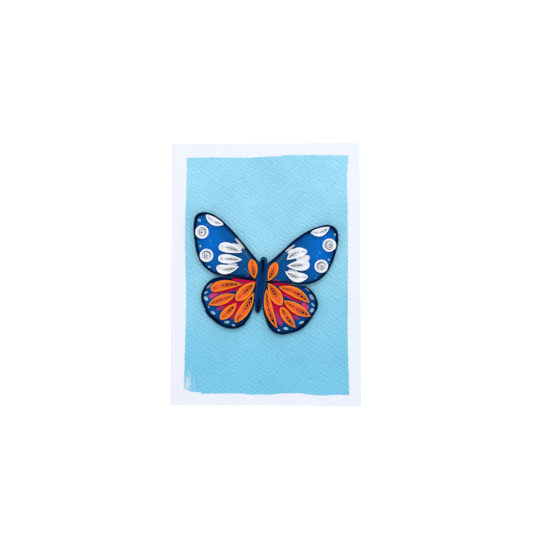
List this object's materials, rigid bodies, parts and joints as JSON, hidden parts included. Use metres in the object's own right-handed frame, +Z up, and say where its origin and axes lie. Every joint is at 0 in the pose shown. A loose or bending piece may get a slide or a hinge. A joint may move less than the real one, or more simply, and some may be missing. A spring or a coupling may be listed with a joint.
{
  "type": "quilled paper butterfly",
  "caption": "Butterfly of rolled and pinched paper strips standing on edge on a watercolour card, with painted wings inside strip outlines.",
  "frame": {"origin": "middle of the card's underside, at the height of the surface it lies on", "axes": "+Z up, out of the picture; +Y to the picture's top, past the butterfly's head; +X to the picture's right"},
  "size_m": [0.13, 0.18, 0.0038],
  "materials": {
    "card": "matt cold-pressed watercolour card",
    "sky_paint": "matt watercolour wash",
    "blue_paint": "matt opaque watercolour",
    "crimson_paint": "matt opaque watercolour",
    "navy_paper": "matt quilling paper",
    "orange_paper": "matt quilling paper",
    "white_paper": "matt quilling paper"
  },
  "bodies": {
    "root": {"backing_card": "card", "sky_wash": "sky_paint", "body_coil": "navy_paper", "left_forewing_ground": "blue_paint", "left_forewing_edging": "navy_paper", "right_forewing_ground": "blue_paint", "right_forewing_edging": "navy_paper", "left_hindwing_ground": "blue_paint", "left_hindwing_edging": "navy_paper", "right_hindwing_ground": "blue_paint", "right_hindwing_edging": "navy_paper", "left_hindwing_fan": "crimson_paint", "left_thorax_coil": "orange_paper", "left_forewing_half_moon": "white_paper", "left_forewing_round_upper": "white_paper", "left_forewing_round_lower": "white_paper", "left_forewing_teardrop_upper": "white_paper", "left_forewing_teardrop_middle": "white_paper", "left_forewing_teardrop_lower": "white_paper", "left_hindwing_petal_top": "orange_paper", "left_hindwing_petal_outer": "orange_paper", "left_hindwing_petal_lower": "orange_paper", "left_hindwing_petal_inner": "orange_paper", "left_hindwing_petal_centre": "orange_paper", "right_hindwing_fan": "crimson_paint", "right_thorax_coil": "orange_paper", "right_forewing_half_moon": "white_paper", "right_forewing_round_upper": "white_paper", "right_forewing_round_lower": "white_paper", "right_forewing_teardrop_upper": "white_paper", "right_forewing_teardrop_middle": "white_paper", "right_forewing_teardrop_lower": "white_paper", "right_hindwing_petal_top": "orange_paper", "right_hindwing_petal_outer": "orange_paper", "right_hindwing_petal_lower": "orange_paper", "right_hindwing_petal_inner": "orange_paper", "right_hindwing_petal_centre": "orange_paper"}
  },
  "joints": []
}
